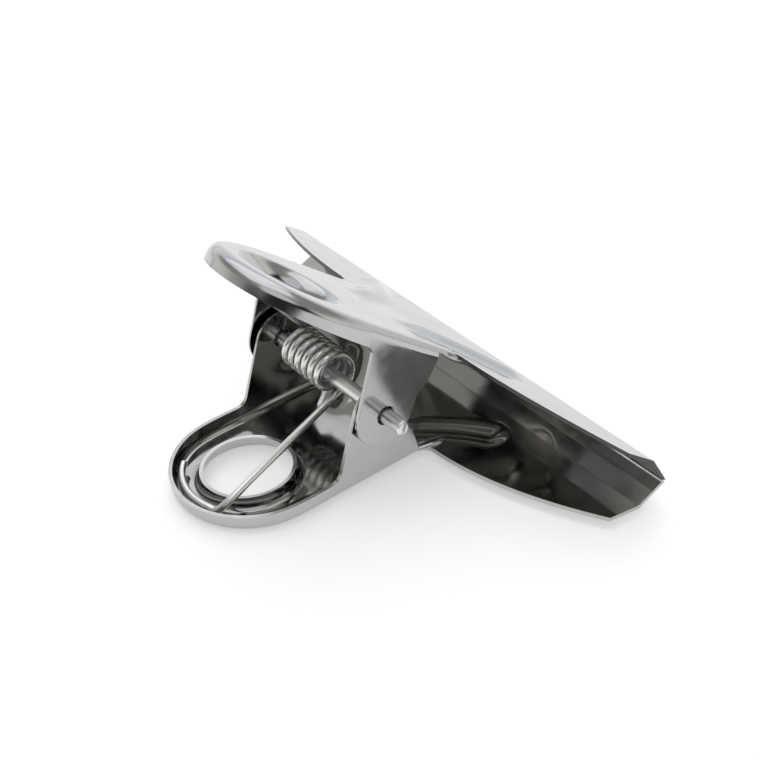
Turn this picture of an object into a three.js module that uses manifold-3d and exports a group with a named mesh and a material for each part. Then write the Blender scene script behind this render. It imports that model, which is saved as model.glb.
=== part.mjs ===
// Wide document clip: two pressed steel halves that turn on a hinge pin and are held shut by a torsion spring.
// Millimetres. Each half is drawn with the pin along Y at the origin and the mouth toward +X. The clip is
// then turned about Y until its lower half lies on a table, with +Z up and the centre of its box over the origin.

import * as THREE from "three";
import { mergeVertices } from "three/addons/utils/BufferGeometryUtils.js";
import Module from "manifold-3d";

const wasm = await Module();
wasm.setup();

// Sheet and the air between neighbours
const SHEET = 0.65;
const CLEARANCE = 0.3;

// Jaw
const JAW_WIDTH = 75;
const MOUTH_REACH = 26.0;
const LIP_REACH = 3.8;
const LIP_ANGLE = 42.3;
const PANEL_ANGLE = 17.7;
const JAW_SIDE_LENGTH = 8.1;
const JAW_SIDE_TAPER = 0.6;
const BACK_EDGE_BOW = 1.6;
const NECK_REACH = 10.4;
const NECK_FILLET = 1.6;
const BEND_RADIUS = 1.0;

// Handle
const HANDLE_ANGLE = 19.9;
const HANDLE_LENGTH = 31.4;
const HANDLE_END_RADIUS = 11.3;
const RIM_WIDTH = 3.1;
const EDGE_RADIUS = 1.5;

// Drawn hole in the handle
const HOLE_RADIUS = 5.9;
const HOLE_FROM_END = 10.2;
const COLLAR_BEND = 1.45;
const COLLAR_DEPTH = 2.2;

// Ears that carry the pin: the outer face, half the width at the pin, and the front edge as a step and a foot
const EAR_GAP = 0.55;
const EAR_FILLET = 1.2;
const OUTER_EARS = { face: 12.4, halfWidth: 4.45, step: [5.7, 3.8], foot: 6.9 };
const INNER_EARS = { face: OUTER_EARS.face - SHEET - EAR_GAP, halfWidth: 4.1, step: [6.0, 3.2], foot: 8.6 };

// Pressed ribs
const RIB_WIDTH = 4.9;
const RIB_HEIGHT = 1.1;
const RIB_START = [4.2, 3.8];
const RIB_START_HEADING = 15;
const RIB_TURN = 45;
const RIB_BEND_RADIUS = 22.5;

// Hinge pin
const PIN_RADIUS = 1.0;
const PIN_NEAR_REACH = 16.1;
const PIN_PLAY = 0.35;
const PIN_HEAD_RADIUS = 1.75;
const PIN_HEAD_THICKNESS = 0.9;
const PIN_CHAMFER = 0.35;
const PIN_SLOT_WIDTH = 0.5;
const PIN_SLOT_DEPTH = 0.6;

// Torsion spring
const WIRE_RADIUS = 0.52;
const COIL_RADIUS = 2.57;
const COIL_TURNS = 6;
const COIL_PITCH = 1.47;
const COIL_NEAR_Y = -1.9;
const COIL_RISE = 0.72;
const NEAR_LEG_OFFSET = 4.9;
const FAR_LEG_OFFSET = 6.4;
const LEG_BOW = 0.6;
const HOOK_LEAD = 5;
const HOOK_END = 44;

const COLOURS = { steel: 0xd4d6d8, pin: 0xc4c6c8, wire: 0xb8babd };
const rad = THREE.MathUtils.degToRad;

// Places that follow from the sizes
const LIP_BEND = new THREE.Vector2(MOUTH_REACH - LIP_REACH, LIP_REACH * Math.tan(rad(LIP_ANGLE)));
const NECK = new THREE.Vector2(
  NECK_REACH,
  LIP_BEND.y + (LIP_BEND.x - NECK_REACH) * Math.tan(rad(PANEL_ANGLE)),
);
const LAP = SHEET;
const HANDLE_SLOPE = Math.tan(rad(HANDLE_ANGLE));
const COLLAR_RADIUS = HOLE_RADIUS + COLLAR_BEND;
const ROUND_END_U = HANDLE_LENGTH - HANDLE_END_RADIUS;
const HOLE_U = HANDLE_LENGTH - HOLE_FROM_END;
const PIN_HOLE_RADIUS = PIN_RADIUS + PIN_PLAY;

// Handle frame: u runs from the neck bend to the handle's end, y across, d into the clip
const HANDLE_FRAME = new THREE.Matrix4().makeBasis(
  new THREE.Vector3(-Math.cos(rad(HANDLE_ANGLE)), 0, Math.sin(rad(HANDLE_ANGLE))),
  new THREE.Vector3(0, 1, 0),
  new THREE.Vector3(-Math.sin(rad(HANDLE_ANGLE)), 0, -Math.cos(rad(HANDLE_ANGLE))),
).setPosition(NECK.x, 0, NECK.y);

// Height of the outer face of the upper half over the pin plane
function outerFace(x) {
  if (x < NECK.x) return NECK.y + (NECK.x - x) * HANDLE_SLOPE;
  return NECK.y - (x - NECK.x) * Math.tan(rad(PANEL_ANGLE));
}

function handleU(x) {
  return (NECK.x - x) / Math.cos(rad(HANDLE_ANGLE));
}

// Solids

function solidOf(geometry) {
  const bare = geometry.clone();
  bare.deleteAttribute("normal");
  bare.deleteAttribute("uv");
  const merged = mergeVertices(bare, 1e-4);
  return new wasm.Manifold(new wasm.Mesh({
    numProp: 3,
    vertProperties: merged.attributes.position.array,
    triVerts: new Uint32Array(merged.index.array),
  }));
}

function geometryOf(solid) {
  const mesh = solid.getMesh();
  const geometry = new THREE.BufferGeometry();
  geometry.setAttribute("position", new THREE.BufferAttribute(new Float32Array(mesh.vertProperties), 3));
  geometry.setIndex(new THREE.BufferAttribute(new Uint32Array(mesh.triVerts), 1));
  const flat = geometry.toNonIndexed();
  flat.computeVertexNormals();
  return flat;
}

function placed(geometry, matrix) {
  return solidOf(geometry.clone().applyMatrix4(matrix));
}

// Closed solid between outlines that have the same number of points, with a cap on the first and last
function loft(rings) {
  const count = rings[0].length;
  const position = rings.flat().flatMap((p) => [p.x, p.y, p.z]);
  const index = [];
  for (let k = 0; k + 1 < rings.length; k++) {
    for (let i = 0; i < count; i++) {
      const a = k * count + i;
      const b = k * count + (i + 1) % count;
      index.push(a, b, b + count, a, b + count, a + count);
    }
  }
  const cap = THREE.ShapeUtils.triangulateShape(rings[0].map((p) => new THREE.Vector2(p.x, p.y)), []);
  const last = (rings.length - 1) * count;
  for (const [a, b, c] of cap) {
    index.push(c, b, a, last + a, last + b, last + c);
  }
  const geometry = new THREE.BufferGeometry();
  geometry.setAttribute("position", new THREE.Float32BufferAttribute(position, 3));
  geometry.setIndex(index);
  return geometry;
}

// Prism over a shape drawn in the XZ plane, reaching from y0 to y1
const UPRIGHT = new THREE.Matrix4().makeBasis(
  new THREE.Vector3(1, 0, 0), new THREE.Vector3(0, 0, 1), new THREE.Vector3(0, -1, 0),
);
function sidePrism(shape, y0, y1, curveSegments = 12) {
  const prism = new THREE.ExtrudeGeometry(shape, { depth: y1 - y0, bevelEnabled: false, curveSegments });
  return placed(prism, new THREE.Matrix4().makeTranslation(0, y1, 0).multiply(UPRIGHT));
}

function planPrism(shape, z0, z1, curveSegments = 8) {
  const prism = new THREE.ExtrudeGeometry(shape, { depth: z1 - z0, bevelEnabled: false, curveSegments });
  return placed(prism, new THREE.Matrix4().makeTranslation(0, 0, z0));
}

// Pressed half, drawn as the upper one

// Side view of the jaw sheet, from the mouth past the lip bend to a lap under the handle's sheet
function jawStrip() {
  const bendSteps = 4;
  const overrun = 1;
  const slope = (angle) => new THREE.Vector2(Math.cos(rad(angle)), -Math.sin(rad(angle)));
  const lip = slope(LIP_ANGLE);
  const panel = slope(PANEL_ANGLE);
  const setback = BEND_RADIUS * Math.tan(rad(LIP_ANGLE - PANEL_ANGLE) / 2);
  const start = LIP_BEND.clone().addScaledVector(lip, setback);
  const centre = start.clone().addScaledVector(new THREE.Vector2(lip.y, -lip.x), BEND_RADIUS);
  const mouth = new THREE.Vector2(MOUTH_REACH, 0).addScaledVector(lip, overrun);
  const outer = [mouth];
  const inner = [mouth.clone().addScaledVector(new THREE.Vector2(lip.y, -lip.x), SHEET)];
  for (let i = 0; i <= bendSteps; i++) {
    const angle = rad(90 - LIP_ANGLE + (LIP_ANGLE - PANEL_ANGLE) * i / bendSteps);
    const out = new THREE.Vector2(Math.cos(angle), Math.sin(angle));
    outer.push(centre.clone().addScaledVector(out, BEND_RADIUS));
    inner.push(centre.clone().addScaledVector(out, BEND_RADIUS - SHEET));
  }
  const tail = NECK.clone().addScaledVector(panel, -LAP);
  outer.push(tail);
  inner.push(tail.clone().addScaledVector(new THREE.Vector2(panel.y, -panel.x), SHEET));
  return new THREE.Shape([...outer, ...inner.reverse()]);
}

// Plan of the jaw sheet: straight ends, bowed back edges and a rounded corner into the neck
function jawPlan(neckHalfWidth) {
  const half = JAW_WIDTH / 2;
  const cornerX = MOUTH_REACH - JAW_SIDE_LENGTH;
  const cornerY = half - JAW_SIDE_TAPER;
  const bowX = (NECK.x + cornerX) / 2 - 2 * BACK_EDGE_BOW;
  const bowY = (neckHalfWidth + cornerY) / 2;
  const shape = new THREE.Shape();
  shape.moveTo(NECK.x - 2 * LAP, -neckHalfWidth);
  shape.quadraticCurveTo(NECK.x, -neckHalfWidth, NECK.x, -neckHalfWidth - NECK_FILLET);
  shape.quadraticCurveTo(bowX, -bowY, cornerX, -cornerY);
  shape.lineTo(LIP_BEND.x, -half);
  shape.lineTo(MOUTH_REACH + 2, -half);
  shape.lineTo(MOUTH_REACH + 2, half);
  shape.lineTo(LIP_BEND.x, half);
  shape.lineTo(cornerX, cornerY);
  shape.quadraticCurveTo(bowX, bowY, NECK.x, neckHalfWidth + NECK_FILLET);
  shape.quadraticCurveTo(NECK.x, neckHalfWidth, NECK.x - 2 * LAP, neckHalfWidth);
  return shape;
}

// Outline of the handle in its own frame, drawn in by an inset: straight past the ears, then easing into the
// round end
function handleOutline(ears, inset, startU) {
  const arcSteps = 14;
  const easeSteps = 5;
  const ease = 3.2;
  const join = rad(65);
  const earBackU = handleU(-ears.halfWidth);
  const radius = HANDLE_END_RADIUS - inset;
  const side = ears.face - inset;
  const leave = new THREE.Vector2(earBackU, side);
  const meet = new THREE.Vector2(ROUND_END_U + radius * Math.cos(join), radius * Math.sin(join));
  const curve = new THREE.CubicBezierCurve(
    leave,
    new THREE.Vector2(leave.x + ease, leave.y),
    new THREE.Vector2(meet.x - ease * Math.sin(join), meet.y + ease * Math.cos(join)),
    meet,
  );
  const far = [[startU, side], ...curve.getPoints(easeSteps).map((p) => [p.x, p.y])];
  const arc = [];
  for (let i = 1; i < arcSteps; i++) {
    const angle = join - 2 * join * i / arcSteps;
    arc.push([ROUND_END_U + radius * Math.cos(angle), radius * Math.sin(angle)]);
  }
  const near = far.map(([u, y]) => [u, -y]);
  return [...near, ...arc.reverse(), ...far.reverse()];
}

// Tray whose edge rounds over and turns down into a wall, deep enough for the ears
function handleTray(ears) {
  const steps = 4;
  const wallDepth = 18;
  function pillow(startU, offset, radius) {
    const rings = [];
    for (let i = 0; i <= steps; i++) {
      const angle = Math.PI / 2 * i / steps;
      const inset = offset + radius * (1 - Math.sin(angle));
      const depth = offset + radius * (1 - Math.cos(angle));
      rings.push(handleOutline(ears, inset, startU).map(([u, y]) => new THREE.Vector3(u, y, depth)));
    }
    rings.push(handleOutline(ears, offset, startU).map(([u, y]) => new THREE.Vector3(u, y, wallDepth)));
    return placed(loft(rings), HANDLE_FRAME);
  }
  return pillow(-LAP, 0, EDGE_RADIUS).subtract(pillow(-4 * LAP, SHEET, EDGE_RADIUS - SHEET));
}

// Side view of what is left of the tray's walls: the rim, the ear around the pin and its flared foot
function wallProfile({ halfWidth, step, foot }) {
  const cut = 8;
  const rimDrop = RIM_WIDTH / Math.cos(rad(HANDLE_ANGLE));
  const rimEdge = (x) => outerFace(x) - rimDrop;
  const tipX = NECK.x - (HANDLE_LENGTH + 2) * Math.cos(rad(HANDLE_ANGLE));
  const inside = (x) => NECK.y + (NECK.x - x) * HANDLE_SLOPE - (SHEET + 0.05) / Math.cos(rad(HANDLE_ANGLE));
  const shape = new THREE.Shape();
  shape.moveTo(NECK.x + 2 * LAP, inside(NECK.x + 2 * LAP));
  shape.lineTo(NECK.x + 2 * LAP, NECK.y + cut);
  shape.lineTo(tipX, outerFace(tipX) + cut);
  shape.lineTo(tipX, rimEdge(tipX));
  shape.lineTo(-halfWidth - EAR_FILLET, rimEdge(-halfWidth - EAR_FILLET));
  shape.quadraticCurveTo(-halfWidth, rimEdge(-halfWidth), -halfWidth, rimEdge(-halfWidth) - EAR_FILLET);
  shape.lineTo(-halfWidth, 0);
  shape.absarc(0, 0, halfWidth, Math.PI, 2 * Math.PI, false);
  shape.lineTo(halfWidth, step[1] / 2);
  shape.quadraticCurveTo(halfWidth, step[1] * 0.7, ...step);
  shape.quadraticCurveTo(foot - (foot - step[0]) * 0.4, (step[1] + inside(foot)) / 2, foot, inside(foot));
  return shape;
}

// Outlines of one rib at a distance from its centre line, and the height of its crown there
function ribRing(side, distance, height) {
  const along = 10;
  const round = 6;
  const points = [];
  const start = rad(RIB_START_HEADING);
  const turn = rad(RIB_TURN);
  const centre = [
    RIB_START[0] - RIB_BEND_RADIUS * Math.sin(start),
    RIB_START[1] + RIB_BEND_RADIUS * Math.cos(start),
  ];
  const at = (heading, offset) => [
    centre[0] + (RIB_BEND_RADIUS + offset) * Math.sin(heading),
    centre[1] - (RIB_BEND_RADIUS + offset) * Math.cos(heading),
  ];
  for (let i = 0; i <= along; i++) points.push(at(start + turn * i / along, distance));
  const tip = at(start + turn, 0);
  for (let i = 1; i < round; i++) {
    const angle = start + turn - Math.PI / 2 + Math.PI * i / round;
    points.push([tip[0] + distance * Math.cos(angle), tip[1] + distance * Math.sin(angle)]);
  }
  for (let i = along; i >= 0; i--) points.push(at(start + turn * i / along, -distance));
  const tail = at(start, 0);
  for (let i = 1; i < round; i++) {
    const angle = start + Math.PI / 2 + Math.PI * i / round;
    points.push([tail[0] + distance * Math.cos(angle), tail[1] + distance * Math.sin(angle)]);
  }
  const ring = points.map(([x, y]) => new THREE.Vector3(x, side * y, outerFace(x) + height));
  return side > 0 ? ring : ring.reverse();
}

// Domed body of one rib, from a foot under the sheet to its crown
function rib(side, halfWidth, drop, foot) {
  const steps = 6;
  const widest = 1.08;
  const narrowest = 0.06;
  const crown = (share) => ((1 + Math.cos(Math.PI * share)) / 2 + 1 - share ** 2) / 2;
  const rings = [ribRing(side, halfWidth * narrowest, foot), ribRing(side, halfWidth * widest, foot)];
  for (let i = 0; i <= steps; i++) {
    const share = widest + (narrowest - widest) * i / steps;
    rings.push(ribRing(side, halfWidth * share, RIB_HEIGHT * crown(share) - drop));
  }
  return solidOf(loft(rings));
}

// Turned solid on the axis of the handle's hole, from pairs of radius and depth
function turnedInHandle(profile) {
  const points = profile.map(([radius, depth]) => new THREE.Vector2(radius, depth));
  const toHandle = HANDLE_FRAME.clone()
    .multiply(new THREE.Matrix4().makeTranslation(HOLE_U, 0, 0))
    .multiply(new THREE.Matrix4().makeRotationX(Math.PI / 2));
  return placed(new THREE.LatheGeometry(points, 48), toHandle);
}

// Quarter bend of the collar at an offset from its outer face, starting a little way round
function collarBend(offset) {
  const steps = 5;
  const first = 20;
  const radius = COLLAR_BEND - offset;
  const bend = [];
  for (let i = 0; i <= steps; i++) {
    const angle = rad(first + (90 - first) * i / steps);
    bend.push([COLLAR_RADIUS - radius * Math.sin(angle), COLLAR_BEND - radius * Math.cos(angle)]);
  }
  const [r, depth] = bend[0];
  const rise = 0.25;
  return [[r + rise / Math.tan(rad(first)), depth - rise], ...bend];
}

// The collar is drawn inward around the hole: a plug is added and a funnel with the same bend is cut from it
function collarPlug() {
  const bend = collarBend(SHEET);
  const [, start] = bend[0];
  return turnedInHandle([[0, start], ...bend, [HOLE_RADIUS + SHEET, COLLAR_DEPTH], [0, COLLAR_DEPTH]]);
}

function collarFunnel() {
  const bend = collarBend(0);
  const [, start] = bend[0];
  return turnedInHandle([[0, start], ...bend, [HOLE_RADIUS, COLLAR_DEPTH + 1], [0, COLLAR_DEPTH + 1]]);
}

function pressedHalf(ears) {
  const reach = 60;
  const strip = sidePrism(jawStrip(), -JAW_WIDTH / 2 - 1, JAW_WIDTH / 2 + 1);
  const gripPlane = CLEARANCE / 2;
  const plan = planPrism(jawPlan(ears.face - EDGE_RADIUS / 4), gripPlane, reach);
  const walls = sidePrism(wallProfile(ears), -ears.face - 1, ears.face + 1, 10);
  const tray = handleTray(ears).intersect(walls);
  let half = strip.intersect(plan).add(tray).add(collarPlug()).subtract(collarFunnel());
  for (const side of [-1, 1]) {
    half = half.add(rib(side, RIB_WIDTH / 2, 0, -SHEET / 2));
  }
  for (const side of [-1, 1]) {
    half = half.subtract(rib(side, (RIB_WIDTH - SHEET) / 2, SHEET, -SHEET * 2.5));
  }
  const pinHole = solidOf(new THREE.CylinderGeometry(PIN_HOLE_RADIUS, PIN_HOLE_RADIUS, 3 * ears.face, 24));
  return half.subtract(pinHole);
}

// Hinge pin with a formed head at its far end and a slotted, chamfered near end

function hingePin() {
  const headSeat = OUTER_EARS.face + CLEARANCE;
  const profile = [
    [0, -PIN_NEAR_REACH],
    [PIN_RADIUS - PIN_CHAMFER, -PIN_NEAR_REACH],
    [PIN_RADIUS, -PIN_NEAR_REACH + PIN_CHAMFER],
    [PIN_RADIUS, headSeat],
    [PIN_HEAD_RADIUS, headSeat],
    [PIN_HEAD_RADIUS, headSeat + PIN_HEAD_THICKNESS * 0.5],
    [PIN_RADIUS, headSeat + PIN_HEAD_THICKNESS],
    [0, headSeat + PIN_HEAD_THICKNESS],
  ].map(([radius, y]) => new THREE.Vector2(radius, y));
  const pin = solidOf(new THREE.LatheGeometry(profile, 24));
  const slot = new THREE.BoxGeometry(PIN_SLOT_WIDTH, 2 * PIN_SLOT_DEPTH, 3 * PIN_RADIUS);
  const at = new THREE.Matrix4().makeTranslation(0, -PIN_NEAR_REACH, 0);
  return pin.subtract(placed(slot, at));
}

// Torsion spring: a coil round the pin, a leg under each handle and a hook that follows the handle's end

function handlePoint(half, u, y, depth) {
  const point = new THREE.Vector3(u, y, depth).applyMatrix4(HANDLE_FRAME);
  if (half === "lower") point.z = -point.z;
  return point;
}

// Points of one leg, from where it leaves the coil to the cut end of its hook
function legPoints(half, coilY, side) {
  const overCollar = COLLAR_DEPTH + CLEARANCE + WIRE_RADIUS;
  const onFloor = SHEET + CLEARANCE + WIRE_RADIUS;
  const hookRadius = HANDLE_END_RADIUS - SHEET - CLEARANCE - WIRE_RADIUS;
  const offset = half === "lower" ? NEAR_LEG_OFFSET : FAR_LEG_OFFSET;
  const sign = half === "lower" ? -1 : 1;
  const crossing = COLLAR_RADIUS + 0.2;
  const crossU = HOLE_U + Math.sqrt(crossing ** 2 - offset ** 2);
  const past = handlePoint(half, crossU, side * offset, overCollar);
  const centre = new THREE.Vector3(0, coilY, COIL_RISE);
  const dx = past.x - centre.x;
  const dz = past.z - centre.z;
  const toward = Math.atan2(dz, dx);
  const swing = Math.acos(COIL_RADIUS / Math.hypot(dx, dz));
  const leave = toward - sign * swing;
  const tangent = new THREE.Vector3(
    centre.x + COIL_RADIUS * Math.cos(leave), coilY, centre.z + COIL_RADIUS * Math.sin(leave),
  );
  const hook = [];
  const hookSteps = 9;
  const first = rad(HOOK_LEAD) - Math.asin(offset / hookRadius);
  for (let i = 0; i <= hookSteps; i++) {
    const angle = first + (rad(HOOK_END) - first) * i / hookSteps;
    const u = ROUND_END_U + hookRadius * Math.cos(angle);
    hook.push(handlePoint(half, u, -side * hookRadius * Math.sin(angle), onFloor));
  }
  return { leave, points: [tangent, past, ...hook] };
}

// Centre line of the whole wire, from the cut end of the lower hook to the cut end of the upper one
function springPath() {
  const stepsPerTurn = 24;
  const legSteps = 6;
  const turn = 2 * Math.PI;
  const lower = legPoints("lower", COIL_NEAR_Y, -1);
  let sweep = legPoints("upper", 0, 1).leave - lower.leave;
  while (sweep < turn * (COIL_TURNS - 0.5)) sweep += turn;
  const farY = COIL_NEAR_Y + COIL_PITCH * sweep / turn;
  const upper = legPoints("upper", farY, 1);
  const steps = Math.round(stepsPerTurn * sweep / turn);
  const coil = [];
  for (let i = 0; i <= steps; i++) {
    const angle = lower.leave + sweep * i / steps;
    const y = COIL_NEAR_Y + (farY - COIL_NEAR_Y) * i / steps;
    coil.push(new THREE.Vector3(COIL_RADIUS * Math.cos(angle), y, COIL_RISE + COIL_RADIUS * Math.sin(angle)));
  }
  // The leg bows away from the coil, so that it leaves the last turn no closer than the turns lie
  function leg([tangent, past, ...hook], side) {
    const shaft = [];
    for (let i = 1; i < legSteps; i++) {
      const share = i / legSteps;
      const point = tangent.clone().lerp(past, share);
      point.y += side * 4 * LEG_BOW * share * (1 - share);
      shaft.push(point);
    }
    return [...shaft, past, ...hook];
  }
  const points = [...leg(lower.points, 0).reverse(), ...coil, ...leg(upper.points, 1)];
  return new THREE.CatmullRomCurve3(points, false, "centripetal");
}

// Least air between parts of the wire that lie more than half a turn apart along it
function selfGap(path) {
  const points = path.getSpacedPoints(900);
  const step = path.getLength() / 900;
  const apart = Math.ceil(Math.PI * COIL_RADIUS / step);
  let least = Infinity;
  for (let i = 0; i < points.length; i++) {
    for (let k = i + apart; k < points.length; k++) {
      least = Math.min(least, points[i].distanceTo(points[k]));
    }
  }
  return least - 2 * WIRE_RADIUS;
}

function torsionSpring() {
  const sides = 8;
  const stepLength = 0.66;
  const path = springPath();
  const gap = selfGap(path);
  console.log(`spring: least gap to itself ${gap.toFixed(3)} mm`);
  const section = new THREE.Shape();
  for (let i = 0; i < sides; i++) {
    const angle = 2 * Math.PI * (i + 0.5) / sides;
    const point = [WIRE_RADIUS * Math.cos(angle), WIRE_RADIUS * Math.sin(angle)];
    if (i === 0) section.moveTo(...point);
    else section.lineTo(...point);
  }
  section.closePath();
  const steps = Math.round(path.getLength() / stepLength);
  return solidOf(new THREE.ExtrudeGeometry(section, { steps, extrudePath: path, bevelEnabled: false }));
}

// Assembly

function meshOf(name, solid, colour, roughness) {
  const material = new THREE.MeshStandardMaterial({ color: colour, roughness, metalness: 1 });
  const mesh = new THREE.Mesh(geometryOf(solid), material);
  mesh.name = name;
  return mesh;
}

// Angle about Y at which the handle and the jaw of the lower half touch a table together
function restTilt(lower) {
  const position = lower.geometry.attributes.position;
  const lowest = (angle, front) => {
    let low = Infinity;
    for (let i = 0; i < position.count; i++) {
      const x = position.getX(i);
      const z = -position.getZ(i);
      if (x > 0 === front) low = Math.min(low, z * Math.cos(angle) - x * Math.sin(angle));
    }
    return low;
  };
  let low = 0;
  let high = Math.PI / 3;
  for (let i = 0; i < 40; i++) {
    const middle = (low + high) / 2;
    if (lowest(middle, true) > lowest(middle, false)) low = middle;
    else high = middle;
  }
  return (low + high) / 2;
}

const upperHalf = meshOf("upper_half", pressedHalf(OUTER_EARS), COLOURS.steel, 0.12);
const lowerHalf = meshOf("lower_half", pressedHalf(INNER_EARS), COLOURS.steel, 0.12);
lowerHalf.rotation.x = Math.PI;
const pin = meshOf("hinge_pin", hingePin(), COLOURS.pin, 0.25);
const spring = meshOf("torsion_spring", torsionSpring(), COLOURS.wire, 0.25);

const clip = new THREE.Group();
clip.add(lowerHalf, upperHalf, pin, spring);
const tilt = restTilt(lowerHalf);
clip.rotation.y = tilt;
const box = new THREE.Box3().setFromObject(clip, true);
const middle = box.getCenter(new THREE.Vector3());
clip.position.set(-middle.x, -middle.y, -box.min.z);
const size = box.getSize(new THREE.Vector3());
console.log(`rest tilt ${THREE.MathUtils.radToDeg(tilt).toFixed(3)} degrees`);
console.log(`box ${size.x.toFixed(2)} x ${size.y.toFixed(2)} x ${size.z.toFixed(2)} mm`);
console.log(`hinge at ${clip.position.toArray().map((v) => v.toFixed(3)).join(", ")} mm`);

export default clip;
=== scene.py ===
"""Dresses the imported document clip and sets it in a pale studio.

Sizes are in millimetres in the clip's own frame: the pin lies along Y at the origin, the mouth opens
toward +X and the two halves mirror each other in Z. Every piece is modelled there and then laid down on
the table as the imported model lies, in metres.
"""

from __future__ import annotations

import logging
import math
from dataclasses import dataclass, field
from enum import Enum
from typing import Callable, Sequence

import bmesh
import bpy
from mathutils import Matrix, Vector

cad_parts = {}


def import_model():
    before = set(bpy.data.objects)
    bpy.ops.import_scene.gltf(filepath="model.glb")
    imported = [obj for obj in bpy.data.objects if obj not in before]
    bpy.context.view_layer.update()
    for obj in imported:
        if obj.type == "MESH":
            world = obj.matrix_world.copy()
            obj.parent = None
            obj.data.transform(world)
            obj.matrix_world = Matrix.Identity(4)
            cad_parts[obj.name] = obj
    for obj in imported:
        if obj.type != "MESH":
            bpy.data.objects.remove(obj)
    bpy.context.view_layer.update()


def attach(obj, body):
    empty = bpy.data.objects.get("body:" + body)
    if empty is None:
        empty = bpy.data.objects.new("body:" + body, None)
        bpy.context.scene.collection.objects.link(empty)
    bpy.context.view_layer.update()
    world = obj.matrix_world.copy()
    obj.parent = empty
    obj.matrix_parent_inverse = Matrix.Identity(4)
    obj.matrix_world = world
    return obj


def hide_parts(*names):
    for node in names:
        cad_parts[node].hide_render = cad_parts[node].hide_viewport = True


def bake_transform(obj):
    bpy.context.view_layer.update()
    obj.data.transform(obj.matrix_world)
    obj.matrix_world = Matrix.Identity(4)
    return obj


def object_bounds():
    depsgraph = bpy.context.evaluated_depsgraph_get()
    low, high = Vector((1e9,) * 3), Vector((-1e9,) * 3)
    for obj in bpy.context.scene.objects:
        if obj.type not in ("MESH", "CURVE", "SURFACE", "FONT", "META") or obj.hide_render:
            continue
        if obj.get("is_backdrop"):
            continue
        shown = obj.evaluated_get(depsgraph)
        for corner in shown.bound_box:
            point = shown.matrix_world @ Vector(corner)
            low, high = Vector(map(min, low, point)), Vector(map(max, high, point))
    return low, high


LOG = logging.getLogger("document_clip")
MM = 0.001
# Distances in millimetres under which two places count as one, loosely and strictly.
LOOSE = 1e-3
STRICT = 1e-4


class Side(Enum):
    """Which half of the clip something belongs to."""

    UPPER = 1
    LOWER = -1

    @property
    def body(self) -> str:
        """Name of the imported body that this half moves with."""
        return "upper" if self is Side.UPPER else "lower"


@dataclass(frozen=True)
class ClipPlace:
    """Where the clip lies on the table.

    Attributes:
        tilt: Angle in degrees about Y from the clip's own frame to the table's.
        hinge: Place of the pin's middle over the table, in millimetres.
    """

    tilt: float = 17.317
    hinge: tuple[float, float, float] = (-0.490, 0.0, 11.339)

    def matrix(self) -> Matrix:
        """Gives the transform from the clip's frame in millimetres to the table's in metres."""
        turn = Matrix.Rotation(math.radians(self.tilt), 4, "Y")
        return Matrix.Scale(MM, 4) @ Matrix.Translation(self.hinge) @ turn


@dataclass(frozen=True)
class SheetSizes:
    """Sizes of the pressed halves, as the part's source has them.

    Only the sheet is thinner, as the photograph shows. Slopes are in degrees.

    Attributes:
        sheet: Thickness of the sheet.
        clearance: Air between pieces that lie side by side.
        jaw_width: Width of the jaws across the clip.
        mouth_reach: From the pin to the ends of the lips.
        lip_reach: From the ends of the lips back to the lip bend.
        lip_angle: Slope of the lip.
        panel_angle: Slope of the jaw behind the lip.
        neck_reach: From the pin to the bend between jaw and handle.
        handle_angle: Slope of the handle.
        handle_length: From the neck to the handle's end, along the handle.
        handle_end_radius: Radius of the handle's round end.
        hole_from_end: From the handle's end to the middle of its hole.
        collar_radius: Radius at which the sheet starts to bend into the hole.
        collar_depth: Depth of the collar round the hole.
    """

    sheet: float = 0.5
    clearance: float = 0.3
    jaw_width: float = 75.0
    mouth_reach: float = 26.0
    lip_reach: float = 3.8
    lip_angle: float = 42.3
    panel_angle: float = 17.7
    neck_reach: float = 10.4
    handle_angle: float = 19.9
    handle_length: float = 31.4
    handle_end_radius: float = 11.3
    hole_from_end: float = 10.2
    collar_radius: float = 7.35
    collar_depth: float = 2.2

    @property
    def neck(self) -> Vector:
        """Bend between jaw and handle.

        Returns:
            Its place on the outer face, in the side view.
        """
        lip = self.lip_reach * math.tan(math.radians(self.lip_angle))
        panel = self.mouth_reach - self.lip_reach - self.neck_reach
        return Vector((self.neck_reach, lip + panel * math.tan(math.radians(self.panel_angle))))

    def handle_matrix(self) -> Matrix:
        """Gives the handle's own frame, which runs along it, across it and inward.

        Returns:
            Transform from the handle's frame to the clip's.
        """
        a = math.radians(self.handle_angle)
        neck = self.neck
        return Matrix((
            (-math.cos(a), 0, -math.sin(a), neck.x),
            (0, 1, 0, 0),
            (math.sin(a), 0, -math.cos(a), neck.y),
            (0, 0, 0, 1),
        ))


class Drawn:
    """Curves that outlines are drawn from."""

    @staticmethod
    def arc(centre: Sequence[float], radius: float, first: float, last: float, steps: int) -> list[Vector]:
        """Points on an arc in a plane.

        Args:
            centre: Middle of the arc.
            radius: Its radius.
            first: Angle of its start, in degrees.
            last: Angle of its end.
            steps: Number of equal steps.

        Returns:
            The points, with both ends.
        """
        angles = (math.radians(first + (last - first) * i / steps) for i in range(steps + 1))
        return [Vector((centre[0] + radius * math.cos(a), centre[1] + radius * math.sin(a))) for a in angles]

    @staticmethod
    def bezier(corners: Sequence[Sequence[float]], steps: int) -> list[Vector]:
        """Points on a Bezier curve in a plane.

        Args:
            corners: Its control points.
            steps: Number of steps.

        Returns:
            The points, with both ends.
        """
        out = []
        for i in range(steps + 1):
            row = [Vector(corner) for corner in corners]
            while len(row) > 1:
                row = [a.lerp(b, i / steps) for a, b in zip(row, row[1:])]
            out.append(row[0])
        return out


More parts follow.
